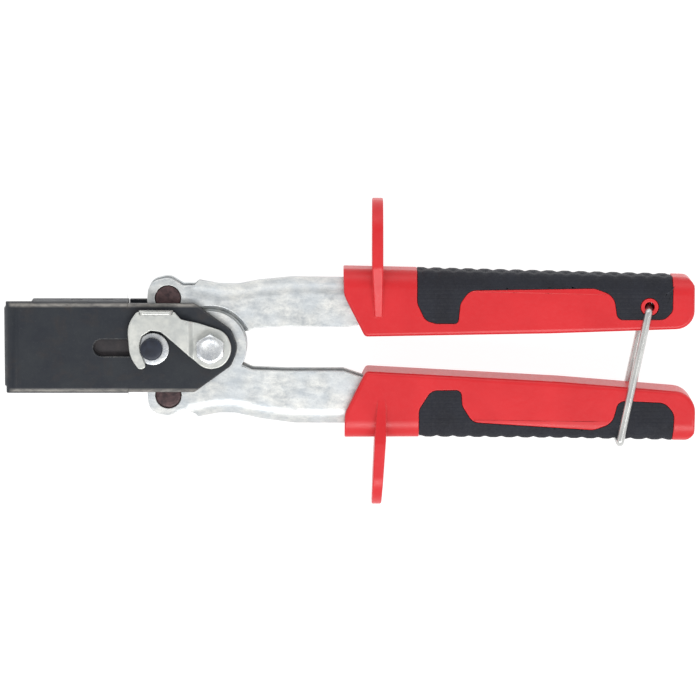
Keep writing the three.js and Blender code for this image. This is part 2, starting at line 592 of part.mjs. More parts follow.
function grip(handle, arm) {
  const { side, plan, inlay } = handle;
  const even = (round) => ({ across: round, up: round });
  const through = (corners) => plate(outline(corners, side), -FAR, FAR);
  const coreGrown = (by) => {
    const corners = offset(plan, by - INLAY_DEPTH).map(([x, y, r]) => [x, y, r && Math.max(r, CORE_CORNER)]);
    return pillow(outline(corners, side), CORE_HALF + by, even(CORE_ROUND), 1);
  };
  const outerEdge = [plan[0], ...plan.slice(-3).toReversed()];
  const rounded = roundedOutside(outerEdge.map(([x, y]) => [x, y]), side, GRIP_HALF, GRIP_OUTER_ROUND);
  const body = common(pillow(outline(plan, side), GRIP_HALF, even(GRIP_ROUND)), rounded);
  const core = coreGrown(0);
  const clear = coreGrown(GAP);
  const rubber = cut(common(body, through(inlay)), clear);
  const seat = through(offset(inlay, GAP));
  const shell = join(cut(body, seat), core, guard(handle));
  return { red: cut(shell, tangPocket(arm)), rubber };
}

for (const name of ['upper', 'lower']) {
  const { red, rubber } = grip(GRIPS[name], ARMS[name]);
  const bored = name === 'upper' ? cut(red, rod(...BAIL_PIVOT, -FAR, FAR, BAIL_HOLE_R, 24)) : red;
  const boss = rod(...BAIL_PIVOT, -FAR, FAR, BAIL_BOSS_R, 32);
  add(`${name}_grip`, bored, RED_PLASTIC);
  add(`${name}_grip_inlay`, name === 'upper' ? cut(rubber, boss) : rubber, RUBBER);
}

// ---------------------------------------------------------------- bail

function bailCentreline() {
  const [px, py] = BAIL_PIVOT;
  const [fx, fy] = BAIL_FOOT;
  const path = new THREE.CurvePath();
  const spots = [
    [px, py, BAIL_END_Z], [px, py, BAIL_LEG_Z], [fx, fy, BAIL_LEG_Z],
    [fx, fy, -BAIL_LEG_Z], [px, py, -BAIL_LEG_Z], [px, py, -BAIL_END_Z],
  ].map((p) => new THREE.Vector3(...p));
  let from = spots[0];
  for (let i = 1; i < spots.length - 1; i += 1) {
    const into = spots[i].clone().sub(spots[i - 1]).normalize();
    const out = spots[i + 1].clone().sub(spots[i]).normalize();
    const start = spots[i].clone().addScaledVector(into, -BAIL_BEND);
    const end = spots[i].clone().addScaledVector(out, BAIL_BEND);
    path.add(new THREE.LineCurve3(from, start));
    path.add(new THREE.QuadraticBezierCurve3(start, spots[i], end));
    from = end;
  }
  path.add(new THREE.LineCurve3(from, spots.at(-1)));
  return path;
}

add('bail', wire(bailCentreline(), BAIL_R, 72), SPRING_STEEL);

// ---------------------------------------------------------------- placing

tool.position.set(-(NOSE_X + GRIP_END_X) / 2, -(UPPER_TIP_Y + LOWER_TIP_Y) / 2, -BOTTOM_Z);

export default tool;
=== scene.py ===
"""Hand seamer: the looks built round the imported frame.

Shapes are written in millimetres in the tool's own frame, as the CAD source writes them: X along the tool,
Z up the main pivot, origin on the pivot at mid-thickness. settle() moves each finished piece into the row
frame in metres.
"""

import json
import math

import bmesh
import bpy
from mathutils import Matrix, Vector

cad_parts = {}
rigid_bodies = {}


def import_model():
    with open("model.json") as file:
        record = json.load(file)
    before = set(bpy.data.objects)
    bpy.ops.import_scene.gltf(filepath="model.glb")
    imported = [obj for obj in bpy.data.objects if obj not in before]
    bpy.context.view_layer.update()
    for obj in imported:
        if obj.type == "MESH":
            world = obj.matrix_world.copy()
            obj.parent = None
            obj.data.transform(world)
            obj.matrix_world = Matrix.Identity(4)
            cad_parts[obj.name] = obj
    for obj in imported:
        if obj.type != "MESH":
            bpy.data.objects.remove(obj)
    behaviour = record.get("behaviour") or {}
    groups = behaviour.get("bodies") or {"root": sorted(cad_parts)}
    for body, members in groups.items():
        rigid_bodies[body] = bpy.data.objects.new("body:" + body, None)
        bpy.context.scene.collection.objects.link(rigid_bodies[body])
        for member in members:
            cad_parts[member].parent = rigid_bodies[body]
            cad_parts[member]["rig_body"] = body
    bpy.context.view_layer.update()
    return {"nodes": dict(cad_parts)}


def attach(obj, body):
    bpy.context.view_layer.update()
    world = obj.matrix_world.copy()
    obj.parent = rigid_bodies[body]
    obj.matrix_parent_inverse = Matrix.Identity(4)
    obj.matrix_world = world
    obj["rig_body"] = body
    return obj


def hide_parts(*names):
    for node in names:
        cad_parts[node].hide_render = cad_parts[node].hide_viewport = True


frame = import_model()

MM = 0.001
PIVOT = Vector((-52.5, 2.25, 15.0))  # the tool's origin in the row frame, in mm
TO_ROW = Matrix.Scale(MM, 4) @ Matrix.Translation(PIVOT)
BODY_OF = {name: node["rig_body"] for name, node in frame["nodes"].items()}


# ------------------------------------------------------------------ finishes


def linear(red, green, blue):
    """A screen colour, 0 to 255, as linear RGBA."""
    def one(value):
        value /= 255
        return value / 12.92 if value <= 0.04045 else ((value + 0.055) / 1.055) ** 2.4
    return (one(red), one(green), one(blue), 1.0)


class Finish:
    """A procedural material in object space, where one unit is a metre."""

    def __init__(self, name, **shader):
        self.material = bpy.data.materials.new(name)
        self.material.use_nodes = True
        self.tree = self.material.node_tree
        self.tree.nodes.clear()
        self.shader = self.node("ShaderNodeBsdfPrincipled", **shader)
        output = self.node("ShaderNodeOutputMaterial")
        self.link(self.shader.outputs[0], output.inputs[0])
        self.coords = self.node("ShaderNodeTexCoord")

    def node(self, kind, settings=None, **inputs):
        made = self.tree.nodes.new(kind)
        for key, value in (settings or {}).items():
            setattr(made, key, value)
        for key, value in inputs.items():
            socket = made.inputs[key.replace("_", " ")]
            if isinstance(value, bpy.types.NodeSocket):
                self.link(value, socket)
            else:
                socket.default_value = value
        return made

    def link(self, source, target):
        self.tree.links.new(source, target)

    def place(self, stretch=(1, 1, 1)):
        mapping = self.node("ShaderNodeMapping", Vector=self.coords.outputs["Object"])
        mapping.inputs["Scale"].default_value = stretch
        return mapping.outputs[0]

    def noise(self, size_mm, detail=3.0, rough=0.55, stretch=(1, 1, 1), warp=0.0):
        made = self.node("ShaderNodeTexNoise", Vector=self.place(stretch), Scale=1 / (size_mm * MM),
                         Detail=detail, Roughness=rough, Distortion=warp)
        return made.outputs[0]

    def ramp(self, fac, low, high, start=0.0, end=1.0):
        """Maps fac from low..high to start..end, clamped."""
        made = self.node("ShaderNodeMapRange", {"clamp": True})
        self.link(fac, made.inputs[0])
        for index, value in zip((1, 2, 3, 4), (low, high, start, end)):
            made.inputs[index].default_value = value
        return made.outputs[0]

    def blend(self, fac, first, second):
        """A colour between two, each a linear colour or a socket."""
        made = self.node("ShaderNodeMix", {"data_type": "RGBA"})
        for index, value in zip((0, 6, 7), (fac, first, second)):
            if isinstance(value, bpy.types.NodeSocket):
                self.link(value, made.inputs[index])
            else:
                made.inputs[index].default_value = value
        return made.outputs[2]

    def maths(self, operation, first, second=0.0):
        made = self.node("ShaderNodeMath", {"operation": operation})
        for index, value in enumerate((first, second)):
            if isinstance(value, bpy.types.NodeSocket):
                self.link(value, made.inputs[index])
            else:
                made.inputs[index].default_value = value
        return made.outputs[0]

    def edges(self, radius_mm, low=0.02, high=0.25):
        """Bright on edges within that radius, dark elsewhere."""
        bevel = self.node("ShaderNodeBevel", {"samples": 4}, Radius=radius_mm * MM)
        geometry = self.node("ShaderNodeNewGeometry")
        dot = self.node("ShaderNodeVectorMath", {"operation": "DOT_PRODUCT"})
        self.link(bevel.outputs[0], dot.inputs[0])
        self.link(geometry.outputs["Normal"], dot.inputs[1])
        return self.ramp(dot.outputs["Value"], 1 - low, 1 - high)

    def colour(self, socket):
        self.link(socket, self.shader.inputs["Base Color"])

    def roughness(self, fac, low, high):
        self.link(self.ramp(fac, 0.25, 0.75, low, high), self.shader.inputs["Roughness"])

    def bump(self, height, depth_mm, below=None):
        made = self.node("ShaderNodeBump", Height=height, Distance=depth_mm * MM, Strength=1.0)
        if below is not None:
            self.link(below, made.inputs["Normal"])
        self.link(made.outputs[0], self.shader.inputs["Normal"])
        return made.outputs[0]


def black_steel():
    """Blackened sheet: blue-black with faint brown clouds, rubbed bright on its edges, with a bright line on
    top of its side bends that is partly rubbed wear and partly a painted highlight.
    """
    f = Finish("black_steel", Metallic=0.0, IOR=1.42)
    clouds = f.noise(7, 5, 0.65)
    body = f.blend(f.ramp(clouds, 0.35, 0.65), linear(17, 23, 33), linear(28, 33, 39))
    brown = f.blend(f.ramp(f.noise(9, 4, 0.6, warp=0.6), 0.54, 0.74, 0.0, 0.5), body, linear(44, 36, 33))
    dust = f.blend(f.ramp(f.noise(0.8, 4, 0.75), 0.56, 0.78, 0.0, 0.4), brown, linear(58, 61, 65))
    patchy = f.ramp(f.noise(1.6, 4, 0.7), 0.34, 0.66, 0.15, 1.0)
    rubbed = f.maths("MULTIPLY", f.edges(0.9, 0.03, 0.22), patchy)
    split = f.node("ShaderNodeSeparateXYZ", Vector=f.coords.outputs["Object"])
    bend_y, bend_half = 0.0163, 0.0011  # where the side bends carry their bright line, partly rubbed wear and partly a painted highlight, in metres from the axis
    out = f.maths("ABSOLUTE", f.maths("SUBTRACT", split.outputs["Y"], PIVOT.y * MM))
    off_bend = f.maths("ABSOLUTE", f.maths("SUBTRACT", out, bend_y))
    bend_wear_and_highlight = f.maths("SUBTRACT", 1.0, f.maths("DIVIDE", off_bend, bend_half))
    top = f.ramp(split.outputs["Z"], (PIVOT.z + 7.4) * MM, (PIVOT.z + 8.8) * MM)
    # The bright line along the tops of the side bends, on the upper face only: partly rubbed wear, partly a
    # painted highlight where the bend's rounding catches the light.
    line = f.maths("MULTIPLY", f.ramp(bend_wear_and_highlight, 0.0, 0.8), top)
    ragged = f.ramp(f.noise(2.2, 4, 0.7, stretch=(0.4, 1, 1)), 0.36, 0.6, 0.35, 0.8)
    # worn joins the rubbed edges with that bend line, whose brightness is partly a painted highlight.
    worn = f.maths("MAXIMUM", f.maths("MULTIPLY", line, ragged), f.maths("MULTIPLY", rubbed, 0.7))
    f.colour(f.blend(f.maths("MULTIPLY", worn, 0.85), dust, linear(158, 154, 148)))
    f.roughness(f.noise(3, 4, 0.6), 0.42, 0.6)
    scale = f.bump(f.noise(0.5, 3, 0.6), 0.02)
    f.bump(f.noise(11, 2, 0.5), 0.12, below=scale)
    return f.material


def galvanised():
    """Zinc-plated pressed steel: neutral pale grey with fine mottling and rubbed streaks along the arms."""
    f = Finish("galvanised", Metallic=0.8)
    blotch = f.noise(3.2, 6, 0.7, stretch=(0.6, 1, 1), warp=0.25)
    cool = f.ramp(f.noise(10, 3, 0.5), 0.4, 0.65, 0.0, 0.5)
    fine = f.noise(0.6, 4, 0.75)
    pale = f.blend(f.ramp(blotch, 0.34, 0.66), linear(178, 182, 184), linear(222, 222, 218))
    tinted = f.blend(cool, pale, linear(188, 196, 203))
    worn = f.blend(f.ramp(fine, 0.5, 0.78, 0, 0.45), tinted, linear(150, 154, 158))
    f.colour(f.blend(f.maths("MULTIPLY", f.edges(0.6), 0.6), worn, linear(244, 243, 238)))
    f.roughness(blotch, 0.36, 0.52)
    grit = f.bump(fine, 0.02)
    f.bump(f.noise(3, 4, 0.6), 0.06, below=grit)
    return f.material


def zinc():
    """Bright zinc on fasteners and washers, with fine turning marks."""
    f = Finish("zinc", Metallic=0.95)
    cloud = f.noise(2.4, 4, 0.6)
    base = f.blend(f.ramp(cloud, 0.35, 0.65), linear(196, 200, 206), linear(234, 236, 236))
    f.colour(f.blend(f.maths("MULTIPLY", f.edges(0.4), 0.5), base, linear(250, 250, 248)))
    f.roughness(f.noise(0.8, 4, 0.6), 0.2, 0.36)
    f.bump(f.noise(0.35, 3, 0.6, stretch=(1, 1, 3)), 0.01)
    return f.material


def latch_zinc():
    """The latch's satin zinc: warmer and more even than the arms, with a painted highlight along its sheared
    edge.
    """
    f = Finish("latch_zinc", Metallic=0.8)
    cloud = f.noise(5, 4, 0.6)
    base = f.blend(f.ramp(cloud, 0.35, 0.65), linear(180, 183, 181), linear(205, 206, 201))
    # Near white along the edges: a painted highlight on the rounded sheared edge.
    f.colour(f.blend(f.maths("MULTIPLY", f.edges(0.5), 0.8), base, linear(250, 248, 240)))
    f.roughness(f.noise(1.1, 4, 0.6), 0.34, 0.5)
    f.bump(f.noise(0.5, 3, 0.6), 0.012)
    return f.material


def tool_steel():
    """Ground and hardened tool steel with fine grinding lines."""
    f = Finish("tool_steel", Metallic=0.9)
    cloud = f.noise(6, 4, 0.6)
    lines = f.noise(0.35, 3, 0.7, stretch=(1, 0.06, 1))
    base = f.blend(f.ramp(cloud, 0.35, 0.65), linear(92, 90, 88), linear(126, 122, 117))
    shown = f.blend(f.ramp(lines, 0.4, 0.7, 0, 0.4), base, linear(150, 147, 142))
    f.colour(f.blend(f.maths("MULTIPLY", f.edges(0.5), 0.7), shown, linear(205, 203, 198)))
    f.roughness(lines, 0.3, 0.46)
    f.bump(lines, 0.01)
    return f.material


def brown_steel():
    """Oiled brown steel, nearly black, with rusty clouds."""
    f = Finish("brown_steel", Metallic=0.25)
    cloud = f.noise(3.2, 5, 0.65, warp=0.4)
    base = f.blend(f.ramp(cloud, 0.35, 0.68), linear(44, 28, 32), linear(92, 68, 68))
    f.colour(f.blend(f.maths("MULTIPLY", f.edges(0.4), 0.5), base, linear(140, 124, 116)))
    f.roughness(f.noise(0.9, 4, 0.6), 0.4, 0.62)
    f.bump(f.noise(0.4, 3, 0.6), 0.015)
    return f.material


def slider_steel():
    """The slider, dark brown with oil, seen through the slot."""
    f = Finish("slider_steel", Metallic=0.1)
    base = f.blend(f.ramp(f.noise(4, 5, 0.65, warp=0.4), 0.35, 0.68), linear(30, 27, 32), linear(50, 44, 46))
    f.colour(f.blend(f.maths("MULTIPLY", f.edges(0.4), 0.4), base, linear(110, 100, 94)))
    f.roughness(f.noise(0.9, 4, 0.6), 0.42, 0.62)
    f.bump(f.noise(0.4, 3, 0.6), 0.015)
    return f.material


def blue_black():
    """The slider pin's head: dark blue-black, smooth."""
    f = Finish("blue_black", Metallic=0.1)
    cloud = f.noise(2.5, 4, 0.6)
    base = f.blend(f.ramp(cloud, 0.35, 0.65), linear(12, 18, 32), linear(26, 34, 50))
    f.colour(f.blend(f.maths("MULTIPLY", f.edges(0.4), 0.3), base, linear(96, 100, 108)))
    f.roughness(f.noise(0.9, 3, 0.6), 0.34, 0.5)
    f.bump(f.noise(0.4, 3, 0.6), 0.012)
    return f.material


def spring_steel():
    """Drawn wire: bright, with fine lines along it."""
    f = Finish("spring_steel", Metallic=0.9)
    cloud = f.noise(9, 3, 0.5)
    base = f.blend(f.ramp(cloud, 0.35, 0.65), linear(186, 187, 186), linear(212, 212, 209))
    f.colour(f.blend(f.ramp(f.noise(1.2, 4, 0.7), 0.58, 0.8, 0, 0.3), base, linear(160, 158, 154)))
    f.roughness(f.noise(0.5, 3, 0.6, stretch=(1, 0.2, 1)), 0.24, 0.34)
    f.bump(f.noise(0.3, 3, 0.6, stretch=(1, 0.1, 1)), 0.004)
    return f.material


def red_plastic():
    """Moulded red plastic: satin, with a fine spark-eroded grain and slightly paler edges, a painted
    highlight.
    """
    f = Finish("red_plastic", Metallic=0.0, IOR=1.46)
    cloud = f.noise(16, 3, 0.5)
    base = f.blend(f.ramp(cloud, 0.35, 0.65), linear(192, 21, 29), linear(200, 28, 35))
    speck = f.blend(f.ramp(f.noise(0.6, 3, 0.7), 0.55, 0.8, 0, 0.25), base, linear(214, 52, 56))
    # Paler along the edges: a painted highlight where the rounded edges catch the light.
    f.colour(f.blend(f.maths("MULTIPLY", f.edges(0.5), 0.55), speck, linear(232, 104, 102)))
    f.roughness(f.noise(1.2, 3, 0.6), 0.3, 0.42)
    grain = f.bump(f.noise(0.45, 3, 0.6), 0.02)
    f.bump(f.noise(8, 2, 0.5), 0.05, below=grain)
    return f.material


def rubber():
    """Moulded rubber: blue-black, matte, with a fine cast grid of short dashes."""
    f = Finish("rubber", Metallic=0.0, IOR=1.42)
    cloud = f.noise(8, 4, 0.6)
    base = f.blend(f.ramp(cloud, 0.35, 0.65), linear(13, 15, 25), linear(21, 24, 34))
    dust = f.blend(f.ramp(f.noise(1.4, 4, 0.7), 0.56, 0.8, 0, 0.3), base, linear(52, 55, 66))
    f.colour(f.blend(f.maths("MULTIPLY", f.edges(0.5), 0.25), dust, linear(84, 88, 98)))
    f.roughness(f.noise(1.0, 3, 0.6), 0.6, 0.8)
    bricks = f.node("ShaderNodeTexBrick", {"offset": 0.5}, Vector=f.place(), Scale=1 / (3.4 * MM),
                    Mortar_Size=0.1, Mortar_Smooth=0.6, Brick_Width=1.0, Row_Height=0.42)
    grid = f.bump(f.maths("SUBTRACT", 1.0, bricks.outputs["Fac"]), 0.06)
    f.bump(f.noise(0.4, 3, 0.6), 0.02, below=grid)
    return f.material


def floor_white():
    f = Finish("floor_white", Roughness=0.9)
    f.shader.inputs["Base Color"].default_value = (0.22, 0.22, 0.22, 1)
    f.shader.inputs["Emission Color"].default_value = (1, 1, 1, 1)
    f.shader.inputs["Emission Strength"].default_value = 0.92
    return f.material


FINISHES = {make.__name__: make() for make in (
    black_steel, galvanised, zinc, latch_zinc, tool_steel, brown_steel, slider_steel, blue_black,
    spring_steel, red_plastic, rubber)}


# ------------------------------------------------------------------ shapes


def shift(corners, distance):
    """(x, y, r) corners moved outwards by a distance, or inwards if negative, rounding kept concentric."""
    count = len(corners)
    area = sum(corners[i][0] * corners[(i + 1) % count][1] - corners[(i + 1) % count][0] * corners[i][1]
               for i in range(count))
    turn = math.copysign(1, area)
    moved = []
    for i, corner in enumerate(corners):
        u = (Vector(corner[:2]) - Vector(corners[i - 1][:2])).normalized()
        v = (Vector(corners[(i + 1) % count][:2]) - Vector(corner[:2])).normalized()
        reach = turn * distance / (1 + u.dot(v))
        bend = u.cross(v) * turn
        radius = corner[2] if len(corner) > 2 else 0
        if radius:
            radius = max(radius + math.copysign(1, bend) * distance, 0.2)
        moved.append((corner[0] + reach * (u.y + v.y), corner[1] - reach * (u.x + v.x), radius))
    return moved


def outline(corners, steps=8, step_mm=0.0):
    """Points of a closed outline, each corner an arc. step_mm adds points along straight runs."""
    points = []
    count = len(corners)
    for i, corner in enumerate(corners):
        here = Vector(corner[:2])
        radius = corner[2] if len(corner) > 2 else 0
        if not radius:
            points.append(here)
            continue
        back = (Vector(corners[i - 1][:2]) - here).normalized()
        on = (Vector(corners[(i + 1) % count][:2]) - here).normalized()
        half = math.acos(max(-1, min(1, back.dot(on)))) / 2
        reach = radius / math.tan(half)
        centre = here + (back + on).normalized() * (radius / math.sin(half))
        start, end = here + back * reach - centre, here + on * reach - centre
        sweep = start.angle_signed(end)
        for k in range(steps + 1):
            a = -sweep * k / steps
            points.append(centre + Vector((start.x * math.cos(a) - start.y * math.sin(a),
                                           start.x * math.sin(a) + start.y * math.cos(a))))
    if step_mm:
        dense = []
        for i, point in enumerate(points):
            after = points[(i + 1) % len(points)]
            pieces = max(1, round((after - point).length / step_mm))
            dense += [point.lerp(after, k / pieces) for k in range(pieces)]
        points = dense
    return points


def flip(corners, side):
    return [(c[0], side * c[1], c[2] if len(c) > 2 else 0) for c in corners]


def eased(z0, z1, across, up=None, steps=3):
    """(inset, z) pairs from the lower face to the upper one, with both edges rounded."""
    up = across if up is None else up
    quarter = [math.pi / 2 * k / steps for k in range(steps + 1)]
    lower = [(across * (1 - math.sin(a)), z0 + up * (1 - math.cos(a))) for a in quarter]
    return lower + [(inset, z0 + z1 - z) for inset, z in reversed(lower)]


def link_object(name, mesh):
    obj = bpy.data.objects.new(name, mesh)
    bpy.context.scene.collection.objects.link(obj)
    return obj


def loft(rings, closed=False):
    """A skin over rings of equally many points, capped at both ends or closed into a loop."""
    size = len(rings[0])
    points = [tuple(p) for ring in rings for p in ring]
    faces = []
    spans = len(rings) if closed else len(rings) - 1
    for r in range(spans):
        a, b = r * size, (r + 1) % len(rings) * size
        faces += [(a + i, a + (i + 1) % size, b + (i + 1) % size, b + i) for i in range(size)]
    if not closed:
        faces += [tuple(reversed(range(size))), tuple(range((len(rings) - 1) * size, len(rings) * size))]
    mesh = bpy.data.meshes.new("work")
    mesh.from_pydata(points, [], faces)
    work = bmesh.new()
    work.from_mesh(mesh)
    bmesh.ops.recalc_face_normals(work, faces=work.faces)
    work.to_mesh(mesh)
    work.free()
    return link_object("work", mesh)


def slab(corners, profile, side=1, steps=8, axes="xy"):
    """A block of an outline whose edge follows (inset, z) pairs. axes says where the outline lies."""
    corners = flip(corners, side)
    rings = []
    for inset, z in profile:
        flat = outline(shift(corners, -inset), steps)
        if axes == "xy":
            rings.append([(p.x, p.y, z) for p in flat])
        elif axes == "yz":
            rings.append([(z, p.x, p.y) for p in flat])
        else:
            rings.append([(p.x, z, p.y) for p in flat])
    return loft(rings)


def bar(corners, low, high, axes, steps=10):
    return slab(corners, [(0, low), (0, high)], steps=steps, axes=axes)


def box(x0, x1, y0, y1, z0, z1):
    return bar([(x0, y0), (x1, y0), (x1, y1), (x0, y1)], z0, z1, "xy")


def turned(x, y, profile, axis="z", segments=64):
    """A solid turned from (radius, height) pairs about a line through (x, y) in the plane across it."""
    rings = []
    for k in range(segments):
        a = 2 * math.pi * k / segments
        c, s = math.cos(a), math.sin(a)
        if axis == "z":
            rings.append([(x + r * c, y + r * s, z) for r, z in profile])
        elif axis == "y":
            rings.append([(x + r * c, z, y + r * s) for r, z in profile])
        else:
            rings.append([(z, x + r * c, y + r * s) for r, z in profile])
    obj = loft(rings, closed=True)
    work = bmesh.new()
    work.from_mesh(obj.data)
    bmesh.ops.remove_doubles(work, verts=work.verts, dist=1e-5)
    bmesh.ops.recalc_face_normals(work, faces=work.faces)
    work.to_mesh(obj.data)
    work.free()
    return obj


def rod(x, y, z0, z1, r, axis="z", ease=0.25):
    return turned(x, y, [(0, z0), (r - ease, z0), (r, z0 + ease), (r, z1 - ease), (r - ease, z1), (0, z1)],
                  axis, 48)


def plain_rod(x, y, z0, z1, r, axis="z", segments=48):
    return turned(x, y, [(0, z0), (r, z0), (r, z1), (0, z1)], axis, segments)


def ring(x, y, z0, z1, outer, inner, ease=0.2):
    return turned(x, y, [(inner, z0 + ease), (inner + ease, z0), (outer - ease, z0), (outer, z0 + ease),
                         (outer, z1 - ease), (outer - ease, z1), (inner + ease, z1), (inner, z1 - ease)])


def strap(x0, y0, r0, x1, y1, r1):
    """The outline round two circles."""
    steps = 20
    along = math.atan2(y1 - y0, x1 - x0)
    opening = math.acos((r0 - r1) / math.hypot(x1 - x0, y1 - y0))
    points = []
    for cx, cy, r, start, end in ((x0, y0, r0, along + opening, along - opening + 2 * math.pi),
                                  (x1, y1, r1, along - opening, along + opening)):
        for k in range(steps + 1):
            a = start + (end - start) * k / steps
            points.append((cx + r * math.cos(a), cy + r * math.sin(a)))
    return points


def strap_slab(x0, y0, r0, x1, y1, r1, profile):
    return loft([[(px, py, z) for px, py in strap(x0, y0, r0 - inset, x1, y1, r1 - inset)]
                 for inset, z in profile])


def tube(path, radius, sides):
    """A round wire along a path of points, its ends slightly rounded."""
    path = [Vector(p) for p in path]
    normal = (path[1] - path[0]).normalized().orthogonal().normalized()
    rings = []
    for i, point in enumerate(path):
        before, after = path[max(i - 1, 0)], path[min(i + 1, len(path) - 1)]
        along = (after - before).normalized()
        normal = (normal - along * normal.dot(along)).normalized()
        across = along.cross(normal)
        rings.append((point, along, normal, across))

    def circle(point, n, b, r):
        return [point + (n * math.cos(a) + b * math.sin(a)) * r
                for a in (2 * math.pi * k / sides for k in range(sides))]

    ease = 0.3 * radius
    first, last = rings[0], rings[-1]
    circles = [circle(first[0], first[2], first[3], radius - ease)]
    circles += [circle(first[0] + first[1] * ease, first[2], first[3], radius)]
    circles += [circle(p, n, b, radius) for p, _, n, b in rings[1:-1]]
    circles += [circle(last[0] - last[1] * ease, last[2], last[3], radius)]
    circles += [circle(last[0], last[2], last[3], radius - ease)]
    return loft(circles)


def rounded_path(spots, radius, steps=10):
    """Points of a polyline with its corners turned into arcs."""
    spots = [Vector(s) for s in spots]
    path = [spots[0]]
    for before, spot, after in zip(spots, spots[1:], spots[2:]):
        into, out = (before - spot).normalized(), (after - spot).normalized()
        half = into.angle(out) / 2
        reach = radius / math.tan(half)
        centre = spot + (into + out).normalized() * (radius / math.sin(half))
        start, end = spot + into * reach - centre, spot + out * reach - centre
        path += [centre + start.slerp(end, k / steps) for k in range(steps + 1)]
    return path + [spots[-1]]


# ------------------------------------------------------------------ mesh work


def apply_modifiers(obj):
    graph = bpy.context.evaluated_depsgraph_get()
    mesh = bpy.data.meshes.new_from_object(obj.evaluated_get(graph))
    old = obj.data
    obj.modifiers.clear()
    obj.data = mesh
    bpy.data.meshes.remove(old)


def discard(obj):
    mesh = obj.data
    bpy.data.objects.remove(obj)
    bpy.data.meshes.remove(mesh)


def boolean(target, operation, tools):
    for tool in tools:
        modifier = target.modifiers.new("boolean", "BOOLEAN")
        modifier.operation = operation
        modifier.solver = "EXACT"
        modifier.object = tool
        apply_modifiers(target)
        discard(tool)
    return target


def cut(target, *tools):
    return boolean(target, "DIFFERENCE", tools)


def join(target, *tools):
    return boolean(target, "UNION", tools)


def common(target, *tools):
    return boolean(target, "INTERSECT", tools)


def tidy(obj):
    """Merges doubled points and dissolves the edges inside flat areas."""
    merge_mm, degenerate_mm, flat = 2e-3, 1e-3, math.radians(0.3)
    work = bmesh.new()
    work.from_mesh(obj.data)
    bmesh.ops.remove_doubles(work, verts=work.verts, dist=merge_mm)
    bmesh.ops.dissolve_degenerate(work, edges=work.edges, dist=degenerate_mm)
    bmesh.ops.dissolve_limit(work, angle_limit=flat, verts=work.verts, edges=work.edges)
    work.to_mesh(obj.data)
    work.free()
    return obj


def ease_edges(obj, width, degrees=38, segments=2):
    """Rounds the sharp edges by that width in mm."""
    modifier = obj.modifiers.new("ease", "BEVEL")
    modifier.width = width
    modifier.segments = segments
    modifier.limit_method = "ANGLE"
    modifier.angle_limit = math.radians(degrees)
    modifier.use_clamp_overlap = False
    modifier.miter_outer = "MITER_ARC"
    apply_modifiers(obj)
    return obj


def settle(obj, name, finish, slot, *nodes, ease=0.0, degrees=38, sharp=60):
    if ease:
        tidy(obj)
        ease_edges(obj, ease, degrees)
    obj.name = obj.data.name = name
    obj.data.transform(TO_ROW)
    obj.data.shade_smooth()
    obj.data.set_sharp_from_angle(angle=math.radians(sharp))
    weighted = obj.modifiers.new("weighted", "WEIGHTED_NORMAL")
    weighted.keep_sharp = True
    obj.data.materials.clear()
    obj.data.materials.append(FINISHES[finish])
    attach(obj, BODY_OF[nodes[0]])
    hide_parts(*nodes)
    return obj


def from_cad(node):
    """A copy of a CAD node back in the tool's frame, in mm."""
    mesh = frame["nodes"][node].data.copy()
    mesh.transform(TO_ROW.inverted())
    obj = link_object("work", mesh)
    return tidy(obj)


# ------------------------------------------------------------------ head

NOSE_X, CHEEK_T, CHEEK_Z = -78, 2.5, (6.7, 9.2)
HEAD_HALF, REAR_HALF = 17.4, 16.8
SIDE_BACK_X, SIDE_FRONT_X = -31, -67.6
NOSE_LOW_Z, SIDE_LOW_Z = -6, -4
NOSE_BEND, SIDE_BEND = 6, 2.5
SLOT_X0, SLOT_X1, SLOT_HALF = -44.1, -16.2, 3.2
SLIDER_PIN_X, SLIDER_PIN_R, PIN_NECK_R = -22, 2.9, 1.5
BOLT_R, SLEEVE_R, HEX_R = 3, 5, 5 / math.cos(math.pi / 6)
SIDE_RIVET_X, SIDE_RIVET_Z, SIDE_RIVET_R = -39, -1, 1.8
DIE_PIN_X, DIE_PIN_Z, DIE_PIN_R = -50.7, 0, 2
GAP = 0.3


def rear_plan(front_x, front_half):
    return [(front_x, -front_half), (SIDE_BACK_X, -front_half), (SIDE_BACK_X, -REAR_HALF),
            (-6, -REAR_HALF, 2.5), (7.8, -6.8, 4), (10.6, 0, 7), (7.8, 6.8, 4), (-6, REAR_HALF, 2.5),
            (SIDE_BACK_X, REAR_HALF),
            (SIDE_BACK_X, front_half), (front_x, front_half)]


def slot_tool():
    return strap_slab(SLOT_X0 + SLOT_HALF, 0, SLOT_HALF, SLOT_X1 - SLOT_HALF, 0, SLOT_HALF,
                      [(0, -12), (0, 12)])


def bent_sheet(inset, back):
    half, top, front = HEAD_HALF - inset, CHEEK_Z[1] - inset, NOSE_X + inset
    low = NOSE_LOW_Z - (1 if inset else 0)
    side_bend, nose_bend = SIDE_BEND - inset, NOSE_BEND - inset
    across = [(-half, low), (half, low), (half, top, side_bend), (-half, top, side_bend)]
    along = [(front, low), (back, low), (back, top), (front, top, nose_bend)]
    return common(bar(across, NOSE_X - 1, back, "yz"), bar(along, -HEAD_HALF - 1, HEAD_HALF + 1, "xz"))


